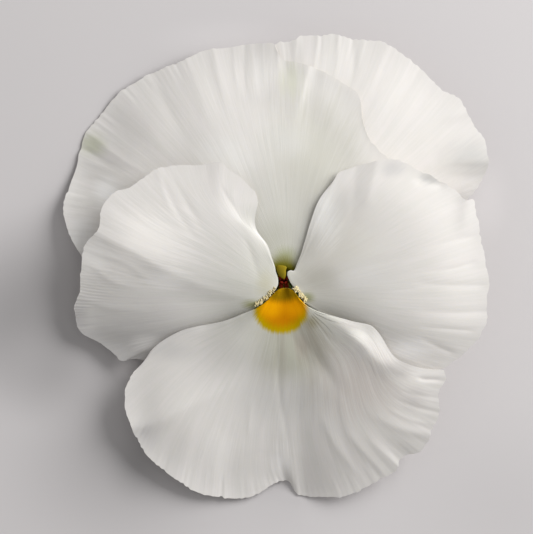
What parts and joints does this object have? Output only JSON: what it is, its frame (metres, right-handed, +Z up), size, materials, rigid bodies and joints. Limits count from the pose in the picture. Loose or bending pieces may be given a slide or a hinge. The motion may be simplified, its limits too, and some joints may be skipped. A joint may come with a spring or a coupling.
{
  "type": "viola blossom",
  "caption": "White viola blossom with a yellow eye, as picked: broad overlapping petals round a bearded throat, with green sepals, a nectar spur and a short cut stalk behind, lying face up.",
  "frame": {"origin": "on the surface that the blossom lies on, under the middle of its bounding box", "axes": "+Z up out of the face of the flower, +Y towards its upper petals, +X to the right as one looks at its face"},
  "size_m": [0.0608, 0.0666, 0.0106],
  "materials": {
    "petal": "soft matt petal tissue, white, thin enough to let some light through, with a yellow patch at the lip's throat",
    "sepal": "soft matt green leaf tissue",
    "stalk": "smooth satin pale green",
    "pistil": "moist satin olive yellow",
    "anther": "matt orange brown with maroon tips"
  },
  "bodies": {
    "root": {"lower_petal": "petal", "left_side_petal": "petal", "right_side_petal": "petal", "left_upper_petal": "petal", "right_upper_petal": "petal", "sepal_top": "sepal", "sepal_upper_left": "sepal", "sepal_upper_right": "sepal", "sepal_lower_left": "sepal", "sepal_lower_right": "sepal", "flower_stalk": "stalk", "pistil": "pistil", "stamen_top": "anther", "stamen_left": "anther", "stamen_right": "anther", "stamen_lower_left": "anther", "stamen_lower_right": "anther"}
  },
  "joints": []
}
